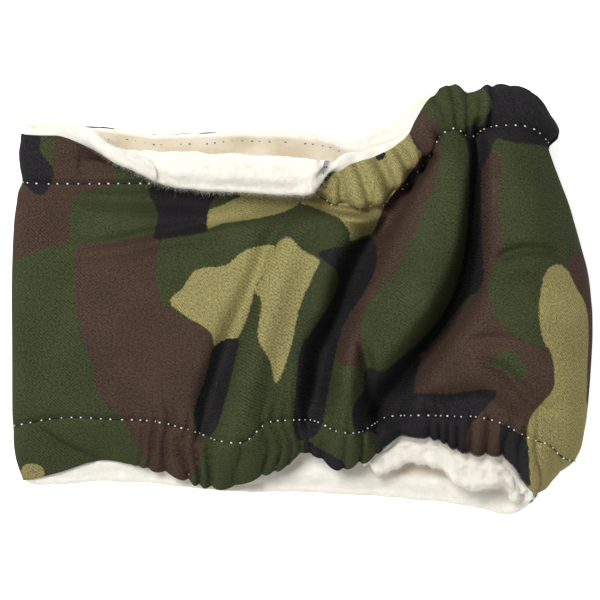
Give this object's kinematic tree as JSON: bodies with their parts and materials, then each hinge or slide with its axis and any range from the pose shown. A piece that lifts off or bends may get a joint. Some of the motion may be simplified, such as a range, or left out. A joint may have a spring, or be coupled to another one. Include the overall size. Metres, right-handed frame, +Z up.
{
  "type": "hand warmer muff",
  "caption": "Fleece-lined twill fabric tube, open at both ends for the hands, with a stitched elastic casing round each mouth and one mouth rolled out as a cuff.",
  "frame": {"origin": "centre of the muff's outline seen from above, on the surface that it lies on", "axes": "+X from the flat left fold towards the raised roll, +Y along the hand passage towards the mouth with the rolled cuff, +Z up out of the surface that it lies on"},
  "size_m": [0.2334, 0.171, 0.051],
  "materials": {
    "camo_twill": "matt cotton twill, woodland camouflage print",
    "pile_fleece": "cream looped pile fleece",
    "flat_elastic": "matt woven elastic",
    "black_thread": "spun polyester sewing thread",
    "white_thread": "spun polyester sewing thread"
  },
  "bodies": {
    "root": {"outer_shell": "camo_twill", "fleece_lining": "pile_fleece", "top_elastic": "flat_elastic", "bottom_elastic": "flat_elastic", "top_casing_needle_thread": "black_thread", "top_casing_bobbin_thread": "white_thread", "bottom_casing_needle_thread": "black_thread", "bottom_casing_bobbin_thread": "white_thread", "top_edge_thread": "black_thread", "bottom_edge_thread": "black_thread", "side_seam_thread": "black_thread", "lining_seam_thread": "white_thread", "top_elastic_join_thread": "white_thread", "bottom_elastic_join_thread": "white_thread"}
  },
  "joints": []
}
